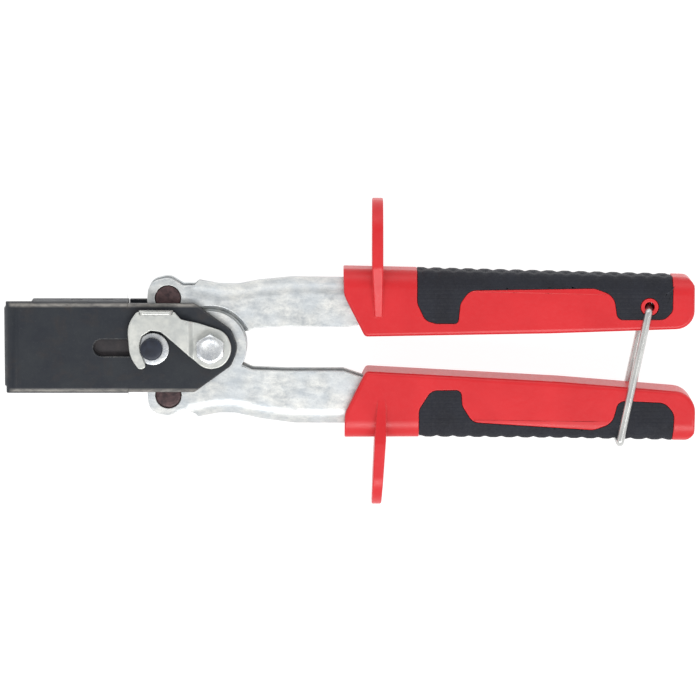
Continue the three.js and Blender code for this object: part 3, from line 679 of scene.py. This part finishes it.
def head_shell():
    shell = cut(bent_sheet(0, SIDE_BACK_X), bent_sheet(CHEEK_T, SIDE_BACK_X + 1))
    join(shell, bar(rear_plan(SIDE_BACK_X - 1, REAR_HALF - 2), *CHEEK_Z, "xy"))
    for side in (-1, 1):
        low, high = sorted((side * (HEAD_HALF - CHEEK_T), side * (HEAD_HALF + 1)))
        cut(shell, box(NOSE_X - 1, SIDE_FRONT_X, low, high, NOSE_LOW_Z - 1, CHEEK_Z[1] - 3.2))
    cut(shell, box(SIDE_FRONT_X - 0.1, SIDE_BACK_X + 1, -20, 20, NOSE_LOW_Z - 1, SIDE_LOW_Z), slot_tool(),
        plain_rod(0, 0, 5, 10, BOLT_R + GAP),
        plain_rod(SIDE_RIVET_X, SIDE_RIVET_Z, -20, 20, SIDE_RIVET_R + 0.1, "y"),
        plain_rod(DIE_PIN_X, DIE_PIN_Z, -20, 20, DIE_PIN_R + 0.1, "y"))
    return shell


settle(head_shell(), "head_shell", "black_steel", "black_steel", "upper_cheek", ease=0.3, degrees=45)
settle(from_cad("lower_cheek"), "back_plate", "black_steel", "black_steel", "lower_cheek", ease=0.25)
settle(from_cad("die_block"), "fixed_die", "tool_steel", "tool_steel", "die_block", ease=0.35)
settle(rod(DIE_PIN_X, DIE_PIN_Z, -HEAD_HALF, HEAD_HALF, DIE_PIN_R, "y", 0.4), "die_cross_pin", "black_steel",
       "black_steel", "die_pin")
for part, low, high in (("upper", 11.9, HEAD_HALF), ("lower", -HEAD_HALF, -11.9)):
    settle(rod(SIDE_RIVET_X, SIDE_RIVET_Z, low, high, SIDE_RIVET_R, "y", 0.4), f"side_rivet_{part}_round",
           "black_steel", "black_steel", f"side_rivet_{part}")


# ------------------------------------------------------------------ main pivot


def hexagon(z0, z1):
    turns = [math.radians(30 + 60 * k) for k in range(6)]
    corners = [(HEX_R * math.cos(a), HEX_R * math.sin(a)) for a in turns]
    return bar(corners, z0, z1, "xy")


def bolt():
    chamfer = turned(0, 0, [
        (0, 11.25), (5.3, 11.25), (5.3, 11.5), (5.5, 11.6), (6.1, 11.95), (6.1, 14.15), (5.55, 14.55),
        (4.95, 14.82), (4.3, 14.98), (3.9, 15.0), (3.2, 14.86), (1.8, 14.72), (0, 14.68)])
    head = common(hexagon(11.2, 15), chamfer)
    shaft = turned(0, 0, [(0, -14.8), (2.5, -14.8), (3, -14.3), (3, 12), (0, 12)], segments=48)
    return join(head, shaft)


def nut():
    chamfer = turned(0, 0, [(0, -14.4), (4.6, -14.4), (5.9, -13.6), (5.9, -11.7), (4.6, -10.9), (0, -10.9)])
    return cut(common(hexagon(-14.4, -10.9), chamfer), plain_rod(0, 0, -16, -9, BOLT_R + 0.15))


settle(bolt(), "pivot_bolt_forged", "zinc", "zinc", "pivot_bolt", ease=0.12, sharp=35)
settle(nut(), "pivot_nut_forged", "zinc", "zinc", "pivot_nut", ease=0.12, sharp=35)
settle(ring(0, 0, -10.6, -9.5, 6.5, BOLT_R + GAP), "pivot_washer_round", "zinc", "zinc", "pivot_washer")
settle(ring(0, 0, -6.4, 6.4, SLEEVE_R, BOLT_R + GAP), "pivot_sleeve_round", "tool_steel", "tool_steel",
       "pivot_sleeve")


# ------------------------------------------------------------------ slider


def slider_pin():
    return turned(SLIDER_PIN_X, 0, [
        (0, -12.3), (2.5, -12.3), (2.9, -11.9), (2.9, 9.2), (PIN_NECK_R, 9.2), (PIN_NECK_R, 12.8),
        (4.0, 12.8), (4.2, 13.0), (4.2, 14.2), (4.1, 14.45), (3.85, 14.65), (3.4, 14.76),
        (2.4, 14.8), (0, 14.8)])


settle(from_cad("slider_bar"), "slider_fork", "slider_steel", "brown_steel", "slider_bar", ease=0.2)
settle(from_cad("moving_jaw"), "moving_jaw_ground", "tool_steel", "tool_steel", "moving_jaw", ease=0.35)
for part, y in (("upper", 3.6), ("lower", -3.6)):
    settle(rod(-58.75, y, 0, 6.4, 1.5), f"jaw_rivet_{part}_round", "tool_steel", "tool_steel",
           f"jaw_rivet_{part}")
settle(rod(0, -10, -60, -50.5, 2.2, "x", 0.5), "punch_round", "tool_steel", "tool_steel", "punch")
settle(slider_pin(), "slider_pin_turned", "blue_black", "black_steel", "slider_pin", sharp=50)
settle(ring(SLIDER_PIN_X + 0.4, -0.3, 9.5, 10.6, 6.1, PIN_NECK_R + 0.8, 0.3),
       "slider_washer_top_round", "zinc", "zinc", "slider_washer_top")
settle(ring(SLIDER_PIN_X, 0, -10.6, -9.5, 6.1, SLIDER_PIN_R + GAP),
       "slider_washer_bottom_round", "zinc", "zinc", "slider_washer_bottom")
settle(ring(SLIDER_PIN_X, 0, -12, -10.9, 4.8, SLIDER_PIN_R + GAP), "retaining_ring_round", "spring_steel",
       "spring_steel", "pin_retaining_ring")


# ------------------------------------------------------------------ latch

LATCH_PLAN = [
    (-26.6, -8.2, 1.6), (-24.2, -7.0, 0.9), (-25.1, -3.7), (-26.1, -1.5), (-26.4, 1.3), (-25.7, 4.6, 1.5),
    (-22.4, 6.9, 2), (-18.6, 6.3, 2), (-14.2, 2.7, 3), (-1.7, -8.4, 7), (5.3, -6.9, 7), (8.6, -0.5, 7),
    (5.9, 6.2, 7), (-4.3, 9.5, 4), (-10.9, 11.1, 1.5), (-13.4, 13.9, 1), (-27.6, 13.9, 1.5), (-31.2, 9, 10),
    (-30.3, -3.2, 12),
]


def latch():
    plate = slab(LATCH_PLAN, eased(9.5, 11.1, 0.45, steps=4), steps=12)
    rise, start, run, pieces = 1.4, -6.1, 2.4, 8
    work = bmesh.new()
    work.from_mesh(plate.data)
    for k in range(pieces + 1):
        everything = work.verts[:] + work.edges[:] + work.faces[:]
        here = (start - run * k / pieces, 0, 0)
        bmesh.ops.bisect_plane(work, geom=everything, plane_co=here, plane_no=(1, 0, 0))
    for vert in work.verts:
        t = min(max((start - vert.co.x) / run, 0), 1)
        vert.co.z += rise * t * t * (3 - 2 * t)
    work.to_mesh(plate.data)
    work.free()
    fold = [(11.0, 10.95), (14.7, 10.95, 1.9), (14.7, 17.5, 0.7), (13.1, 17.5, 0.7), (13.1, 12.45, 0.4),
            (11.0, 12.45)]
    tab = common(bar(fold, -26.6, -13.9, "yz"),
                 bar([(-26.6, 9), (-13.9, 9), (-13.9, 17.6, 2.5), (-26.6, 17.6, 2.5)], 5, 20, "xz"))
    ease_edges(tidy(tab), 0.25, 50)
    join(plate, tab)
    dimple = turned(-9.3, 9.6, [(0, 12.1), (0.55, 12.8), (0, 13)], segments=16)
    return cut(plate, plain_rod(0, 0, 5, 20, BOLT_R + GAP), dimple)


settle(latch(), "latch_pressed", "latch_zinc", "galvanised", "latch_lever", sharp=40)


# ------------------------------------------------------------------ arms

ARM_HALF, INNER_HALF, SHEET_T = 6.4, 4.2, 2
EAR_X, EAR_Y, EAR_PIN_R = -16, 18.4, 4.8
RECESS_R = 14.3
ARM_ROUND_ACROSS, ARM_ROUND_UP = 6.4, 5.0
ARMS = {
    "upper": {
        "side": 1, "boss": 13.2,
        "outer": [(-4.3, 24.9), (3, 23.6, 6), (10.3, 23.4, 10), (18, 24.9, 10), (30.4, 26.1, 15), (54, 25.8),
                  (62, 23.6), (150, 22.3)],
        "inner": [(12, 5.3, 2), (16.7, 7.2, 4), (28.5, 7.9), (52, 7.6), (66, 10.3), (150, 11.8)],
    },
    "lower": {
        "side": -1, "boss": 13.6,
        "outer": [(-4.8, 27.1), (3, 25.6, 6), (9, 25.6, 10), (19, 27.8, 10), (32, 29.5, 15), (54, 29.5),
                  (62, 28.4), (150, 30)],
        "inner": [(11.6, 6.8, 2), (15.6, 8.7, 4), (28, 9.2), (50, 9.2), (62, 13.2), (150, 19.4)],
    },
}


def arm_plan(arm):
    outer = arm["outer"]
    neck = [(-6, outer[0][1] - 1.6, 1), (-10.4, 23.2, 2)]
    ear = [(-15.6, 26.4, 5), (-23.2, 24.6, 5), (-24, 16, 5), (-15, 5.6)]
    boss = [(-13.2, 3), (-13.2, -1)]
    return outer[::-1] + neck + ear + boss + [(0, -4)] + arm["inner"]


def lowered(corner, drop):
    return (corner[0], corner[1] - drop) + tuple(corner[2:])


def rounded_outside(edge, side, half, across, up):
    """A block reaching far inwards and past both ends of an outer edge, so that only that edge is rounded."""
    near_x, far_x = edge[0][0] - 40, edge[-1][0] + 25
    plan = [(near_x, -60), (near_x, edge[0][1]), *edge, (far_x, edge[-1][1]), (far_x, -60)]
    return slab(plan, eased(-half, half, across, up, 8), side)


def arm_blank(arm):
    side, outer = arm["side"], arm["outer"]
    run_out = (outer[0][0] - 9.7, outer[0][1] + 15.1)  # lets the bend fade out towards the ear
    rounded = rounded_outside([run_out] + outer, side, ARM_HALF, ARM_ROUND_ACROSS, ARM_ROUND_UP)
    blank = common(bar(flip(arm_plan(arm), side), -ARM_HALF, ARM_HALF, "xy"), rounded)
    return join(blank, plain_rod(0, 0, -ARM_HALF, ARM_HALF, arm["boss"], segments=96))


def channel(arm):
    web = [lowered(c, SHEET_T) for c in arm["outer"]]
    inside = ARM_HALF - SHEET_T
    plan = [(165, web[-1][1])] + web[::-1] + [(web[0][0], 45), (-45, 45), (-45, -35), (165, -35)]
    return slab(plan, eased(-inside, inside, 3.6, 3.0, 5), arm["side"])


def ear_bore(side):
    return plain_rod(EAR_X, side * EAR_Y, -10, 10, EAR_PIN_R + 0.15)


def pivot_bore():
    return plain_rod(0, 0, -10, 10, SLEEVE_R + GAP)


def both_ways(profile):
    """Two turned cutters about the pivot, above and below."""
    return [turned(0, 0, [(r, sign * z) for r, z in profile], segments=96) for sign in (1, -1)]


def upper_arm():
    arm = ARMS["upper"]
    wall, floor_z = RECESS_R + SHEET_T, INNER_HALF - SHEET_T
    hollow = cut(channel(arm), *both_ways([(0, floor_z), (wall, floor_z), (wall, 9), (0, 9)]))
    recess = both_ways([(0, INNER_HALF), (RECESS_R, INNER_HALF), (RECESS_R + 0.7, INNER_HALF + 1.4),
                        (RECESS_R + 1.5, ARM_HALF + 0.1), (RECESS_R + 1.5, 9), (0, 9)])
    return cut(arm_blank(arm), hollow, *recess, ear_bore(1), pivot_bore())


def lower_arm():
    arm = ARMS["lower"]
    inside = ARM_HALF - SHEET_T
    boss = plain_rod(0, 0, -inside, inside, arm["boss"] + 1, segments=96)
    return cut(arm_blank(arm), channel(arm), boss, ear_bore(-1), pivot_bore())


settle(upper_arm(), "upper_arm_pressed", "galvanised", "galvanised", "upper_arm", ease=0.3, degrees=48)
settle(lower_arm(), "lower_arm_pressed", "galvanised", "galvanised", "lower_arm", ease=0.3, degrees=48)


def ear_pin(side):
    profile = [(0, 6.25), (3.6, 6.3), (4.3, 6.2), (4.65, 6.0), (EAR_PIN_R, 5.7)]
    return turned(EAR_X, side * EAR_Y, [(r, -z) for r, z in profile] + profile[::-1])


def link_slab(side, z0, z1):
    body = strap_slab(EAR_X, side * EAR_Y, 6.7, SLIDER_PIN_X, 0, 6.2, eased(z0, z1, 0.25))
    return cut(body, ear_bore(side), plain_rod(SLIDER_PIN_X, 0, -10, 10, 3.7))


for part, side in (("upper", 1), ("lower", -1)):
    settle(ear_pin(side), f"{part}_ear_pin_head", "brown_steel", "brown_steel", f"{part}_ear_pin", sharp=50)
for node, side, z0, z1 in (("upper_link", 1, -2, 2), ("lower_link_top", -1, 2.3, 4.1),
                           ("lower_link_bottom", -1, -4.1, -2.3)):
    settle(link_slab(side, z0, z1), f"{node}_punched", "tool_steel", "tool_steel", node, sharp=40)
for node, side, z0, z1 in (("upper_spacer_top", 1, 2.3, 4.1), ("upper_spacer_bottom", 1, -4.1, -2.3),
                           ("lower_spacer", -1, -2, 2)):
    settle(ring(EAR_X, side * EAR_Y, z0, z1, 6.4, EAR_PIN_R + GAP), f"{node}_round", "zinc", "zinc", node)


# ------------------------------------------------------------------ return spring


def spring_path():
    coil_r, rise, turn = 6.6, 1.2, (math.radians(121), math.radians(598))
    coil = []
    steps = 72
    for k in range(steps + 1):
        a = turn[0] + (turn[1] - turn[0]) * k / steps
        coil.append(Vector((coil_r * math.cos(a), coil_r * math.sin(a), rise * (1 - 2 * k / steps))))
    start, end = Vector((21, 21.6, rise)), Vector((21, -24.6, -rise))
    legs = 8
    lead = [start.lerp(coil[0], k / legs) for k in range(legs)]
    tail = [coil[-1].lerp(end, k / legs) for k in range(1, legs + 1)]
    return lead + coil + tail


settle(tube(spring_path(), 0.7, 14), "return_spring_coiled", "spring_steel", "spring_steel", "return_spring")


# ------------------------------------------------------------------ grips

GRIP_HALF, GRIP_ROUND = 10.5, 1.4
OUTER_ACROSS, OUTER_UP = 7, 5  # the fuller rounding along the outer side
CORE_HALF, INLAY_DEPTH = 8.2, 2.3
GUARD_HALF = 15
RUBBER_SPAN = (72, 178)  # the stretch along the grips that the rubber lies within
BAIL_PIVOT, BAIL_FOOT, BAIL_R = (165.3, 15.6), (154.1, -37.4), 1.5
BAIL_LEG_Z, BAIL_HOLE_R = GRIP_HALF + GAP + BAIL_R, 1.85
GRIPS = {
    "upper": {
        "side": 1, "tip": 55.7, "blade": {"tip": (60.9, 65.1), "root": (60.9, 65.1)},
        "rib": {"y": 11.5, "z": GRIP_HALF + 0.5, "x": (61.8, 64.9)},
        "plan": [(50.1, 29.8), (50.3, 20, 8), (58.2, 4.3, 1.8), (127.9, 5.5), (182.3, 7.3, 7),
                 (182.3, 26.5, 4.5), (131.7, 27.8), (76.8, 29.2)],
        "inlay": [(78, 40), (78, 17, 5), (81, 10.6, 4), (85, 9.4, 2), (93.2, 9.4, 1.5), (94, 17, 5),
                  (97.5, 22, 5), (144.5, 22.7, 6), (152, 20, 6), (153.3, 10.8, 2.5), (171, 10.9, 4),
                  (173.9, 14, 3), (173.9, 40)],
    },
    "lower": {
        "side": -1, "tip": 60.2, "blade": {"tip": (60.7, 64.4), "root": (61.9, 66.2)},
        "rib": {"y": 17.2, "z": GRIP_HALF - 0.4, "x": (63.2, 66.2)},
        "plan": [(50.5, 34.3), (50.6, 25, 8), (58.6, 8.8, 1.8), (131.7, 12.8), (156, 14.8), (183, 17, 8),
                 (182.6, 35.6, 4.5), (131.7, 34.7), (78.7, 34.2)],
        "inlay": [(78.7, 45), (78.7, 23.4, 5), (83.3, 16.2, 4), (94.4, 16, 2), (94.8, 22, 5), (98.8, 28.3, 5),
                  (144.5, 31.3, 6), (151.6, 28.7, 6), (153.9, 20.1, 3), (171.3, 20.9, 5), (174.8, 25, 5),
                  (173.6, 45)],
    },
}


def guard(spec, arm):
    """The finger guard: a blade whose foot runs on over the grip's face as a rib, hollowed for the tang."""
    side, tip, blade, rib = spec["side"], spec["tip"], spec["blade"], spec["rib"]
    root = spec["plan"][0][1]
    half = [(rib["y"], rib["z"]), (root + 1, GUARD_HALF, 6), (tip, GUARD_HALF, 12)]
    whole = half + [(y, -z, *r) for y, z, *r in reversed(half)]
    plan = [(blade["tip"][0], tip), (blade["tip"][1], tip), (blade["root"][1], root), (rib["x"][1], rib["y"]),
            (rib["x"][0], rib["y"]), (blade["root"][0], root)]
    web = common(bar([(side * y, z, *r) for y, z, *r in whole], 55, 70, "yz"),
                 bar(flip(plan, side), -GUARD_HALF - 1, GUARD_HALF + 1, "xy"))
    clear = 0.05  # keeps the blade's hollow off the grip's own pocket walls
    return cut(ease_edges(tidy(web), 0.6, 50, 3), tang_pocket(arm, clear))


def tang_pocket(arm, extra=0.0):
    """The hollow that the arm's end sits in."""
    grow, start = GAP + 0.1 + extra, 40
    end = arm["outer"][-1][0] + 1
    high = [(x, y + grow) for x, y, *_ in arm["outer"][-3:]]
    low = [(x, y - grow) for x, y, *_ in arm["inner"][-3:]]
    high[-1], low[-1] = (end, high[-1][1]), (end, low[-1][1])
    corners = [(start, high[0][1])] + high + low[::-1] + [(start, low[0][1])]
    half = ARM_HALF + GAP + extra
    return bar(flip(corners, arm["side"]), -half, half, "xy")


def wave(x, z):
    """How deep the grooves are between the low blocks along the outer side, in two staggered rows."""
    pitch, height, notch = 6.1, 0.55, 0.3
    row = 0 if z > 0 else 0.5
    phase = (x / pitch + row) % 1
    flat = min(phase, 1 - phase) / notch
    return height * (min(1, flat) - 1)


def rubber_body(spec):
    """The grip's rounded block with blocks along its outer side."""
    side, plan = spec["side"], flip(spec["plan"], spec["side"])
    steps, point_mm, fade_mm = 6, 0.75, 3
    edges = eased(-GRIP_HALF, GRIP_HALF, GRIP_ROUND, steps=steps)
    flank = [(0, z) for z in range(-9, 10)]
    profile = edges[:steps + 1] + flank + edges[steps + 1:]

    def fuller(inset, z):
        """How much further in the outer side lies at that height."""
        rise = min(max((abs(z) - GRIP_HALF + OUTER_UP) / OUTER_UP, 0), 1)
        return OUTER_ACROSS * (1 - math.sqrt(1 - rise * rise)) - inset

    outer = outline(plan, steps, point_mm)
    size = len(outer)
    centre = sum(outer, Vector((0, 0))) / size
    rings = []
    for inset, z in profile:
        extra = max(fuller(inset, z), 0)
        ring_points = []
        for i, p in enumerate(resample(outline(shift(plan, -inset), steps, point_mm), outer)):
            normal = (outer[(i + 1) % size] - outer[i - 1]).orthogonal().normalized()
            if normal.dot(outer[i] - centre) < 0:
                normal.negate()
            facing = min(max((normal.y * side - 0.8) / 0.15, 0), 1)
            facing *= min(max(min(outer[i].x - RUBBER_SPAN[0], RUBBER_SPAN[1] - outer[i].x) / fade_mm, 0), 1)
            p = p + normal * (facing * (wave(p.x, z) - extra))
            ring_points.append((p.x, p.y, z))
        rings.append(ring_points)
    return loft(rings)


def resample(points, like):
    """As many points as in like, spread at the same shares of the way round."""
    def shares(ring_points):
        total, run = 0.0, [0.0]
        for a, b in zip(ring_points, ring_points[1:] + ring_points[:1]):
            total += (b - a).length
            run.append(total)
        return [r / total for r in run]

    own, wanted = shares(points), shares(like)[:-1]
    result, k = [], 0
    closed = points + points[:1]
    for share in wanted:
        while own[k + 1] < share:
            k += 1
        t = (share - own[k]) / max(own[k + 1] - own[k], 1e-9)
        result.append(closed[k].lerp(closed[k + 1], t))
    return result


def core(spec, grow):
    plan = shift(spec["plan"], grow - INLAY_DEPTH)
    half = CORE_HALF + grow
    return slab(plan, eased(-half, half, 0.9), spec["side"])


def through(corners, side):
    return bar(flip(corners, side), -GRIP_HALF - 1, GRIP_HALF + 1, "xy")


def grip(part):
    spec, arm = GRIPS[part], ARMS[part]
    side = spec["side"]
    rubber = cut(common(rubber_body(spec), through(spec["inlay"], side)), core(spec, 0.1))
    plan = spec["plan"]
    outer_edge = [plan[0][:2]] + [corner[:2] for corner in reversed(plan[-3:])]
    red = common(slab(plan, eased(-GRIP_HALF, GRIP_HALF, GRIP_ROUND, steps=8), side),
                 rounded_outside(outer_edge, side, GRIP_HALF, OUTER_ACROSS, OUTER_UP))
    cut(red, through(shift(spec["inlay"], 0.12), side))
    join(red, core(spec, 0))
    cut(red, tang_pocket(arm))
    if part == "upper":
        cut(rubber, plain_rod(*BAIL_PIVOT, -12, 12, 3.5, segments=64))
        boss = turned(*BAIL_PIVOT, [
            (0, -10.45), (3.1, -10.45), (3.4, -10.2), (3.4, 10.2), (3.1, 10.45), (0, 10.45)])
        join(red, boss)
        cut(red, plain_rod(*BAIL_PIVOT, -12, 12, BAIL_HOLE_R))
    ease_edges(tidy(red), 0.35, 50)
    join(red, guard(spec, arm))
    ease_edges(tidy(rubber), 0.2, 60)
    return red, rubber


for part in GRIPS:
    red, rubber_skin = grip(part)
    settle(red, f"{part}_grip_moulded", "red_plastic", "red_plastic", f"{part}_grip", sharp=50)
    settle(rubber_skin, f"{part}_grip_rubber", "rubber", "rubber", f"{part}_grip_inlay", sharp=50)


# ------------------------------------------------------------------ bail


def bail():
    px, py = BAIL_PIVOT
    fx, fy = BAIL_FOOT
    leg = BAIL_LEG_Z
    spots = [(px, py, 5), (px, py, leg), (fx, fy, leg), (fx, fy, -leg), (px, py, -leg), (px, py, -5)]
    return tube(rounded_path(spots, 2.6, 12), BAIL_R, 24)


settle(bail(), "bail_wire", "spring_steel", "spring_steel", "bail")


# ------------------------------------------------------------------ stage

FLOOR_HALF, FLOOR_DROP = 4.0, 0.0003
floor_mesh = bpy.data.meshes.new("floor")
floor_mesh.from_pydata([(x * FLOOR_HALF, y * FLOOR_HALF, 0) for x, y in ((-1, -1), (1, -1), (1, 1), (-1, 1))],
                       [], [(0, 1, 2, 3)])
floor = link_object("floor", floor_mesh)
floor.location.z = -FLOOR_DROP
floor_mesh.materials.append(floor_white())

scene = bpy.context.scene
scene.view_settings.view_transform = "Standard"
world = bpy.data.worlds.new("studio")
scene.world = world
world.use_nodes = True
tree = world.node_tree
background = tree.nodes["Background"]
where = tree.nodes.new("ShaderNodeTexCoord")
split = tree.nodes.new("ShaderNodeSeparateXYZ")
height = tree.nodes.new("ShaderNodeMapRange")
tree.links.new(where.outputs["Generated"], split.inputs[0])
tree.links.new(split.outputs["Z"], height.inputs[0])
SKY_RAMP = (0.35, 0.97, 1.1, 0.62)  # the sky dims from this height to that, from this strength to that
for index, value in zip((1, 2, 3, 4), SKY_RAMP):
    height.inputs[index].default_value = value
tree.links.new(height.outputs[0], background.inputs["Strength"])
background.inputs["Color"].default_value = (1, 1, 1, 1)


def softbox(name, place, target, size, power):
    light = bpy.data.lights.new(name, "AREA")
    light.shape = "RECTANGLE"
    light.size, light.size_y = size
    light.energy = power
    obj = bpy.data.objects.new(name, light)
    scene.collection.objects.link(obj)
    obj.location = place
    obj.rotation_euler = (Vector(target) - Vector(place)).to_track_quat("-Z", "Y").to_euler()


softbox("key", (0.1, -0.6, 1.0), (0, 0, 0), (1.3, 0.25), 8.3)
softbox("fill", (-0.1, 0.8, 0.7), (0, 0, 0), (1.2, 0.5), 2)

CAMERA_RANGE, CAMERA_TILT, FIELD = 1.6, math.radians(7), 0.2636
TARGET = Vector((0.0001, 0.0015, 0.0244))
SENSOR = 36.0
camera_data = bpy.data.cameras.new("camera")
camera = bpy.data.objects.new("camera", camera_data)
scene.collection.objects.link(camera)
camera_data.sensor_width = SENSOR
camera_data.lens = SENSOR * CAMERA_RANGE / FIELD
camera_data.clip_start = 0.01
back = Vector((0, math.sin(CAMERA_TILT), math.cos(CAMERA_TILT)))
right = Vector((1, 0, 0))
camera.matrix_world = Matrix.Translation(TARGET + back * CAMERA_RANGE) @ Matrix((
    right, back.cross(right), back)).transposed().to_4x4()
scene.camera = camera
